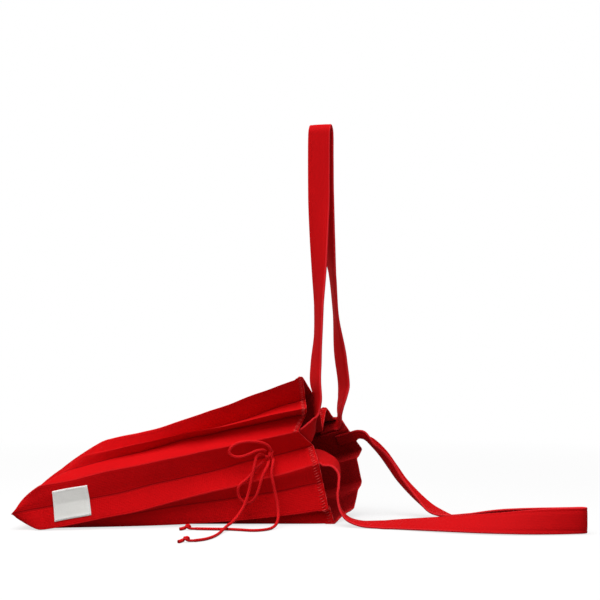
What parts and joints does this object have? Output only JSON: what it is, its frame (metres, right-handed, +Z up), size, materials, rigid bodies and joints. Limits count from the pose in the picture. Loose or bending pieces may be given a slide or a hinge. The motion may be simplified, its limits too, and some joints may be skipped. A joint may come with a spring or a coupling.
{
  "type": "pleated knit tote bag",
  "caption": "Soft knit tote bag with accordion pleats, flat strap handles and a tie cord bow on its gusset, lying on its back panel with one handle raised.",
  "frame": {"origin": "on the floor, under the centre crease of the back panel, below the mouth's near edge", "axes": "+Z up from the floor, +X from the bottom seam towards the mouth, +Y from the near gusset to the far one"},
  "size_m": [0.558, 0.2621, 0.4052],
  "materials": {
    "knit": "matte",
    "strap": "matte",
    "cord": "matte",
    "label": "matte"
  },
  "bodies": {
    "root": {"bag_body": "knit", "upper_handle": "strap", "lower_handle": "strap", "label": "label", "tie_stem": "cord", "bow_knot": "cord", "bow_loop_upper": "cord", "bow_loop_lower": "cord", "tie_tail_front": "cord", "tie_tail_rear": "cord", "end_knot_front": "cord", "end_knot_rear": "cord"}
  },
  "joints": []
}
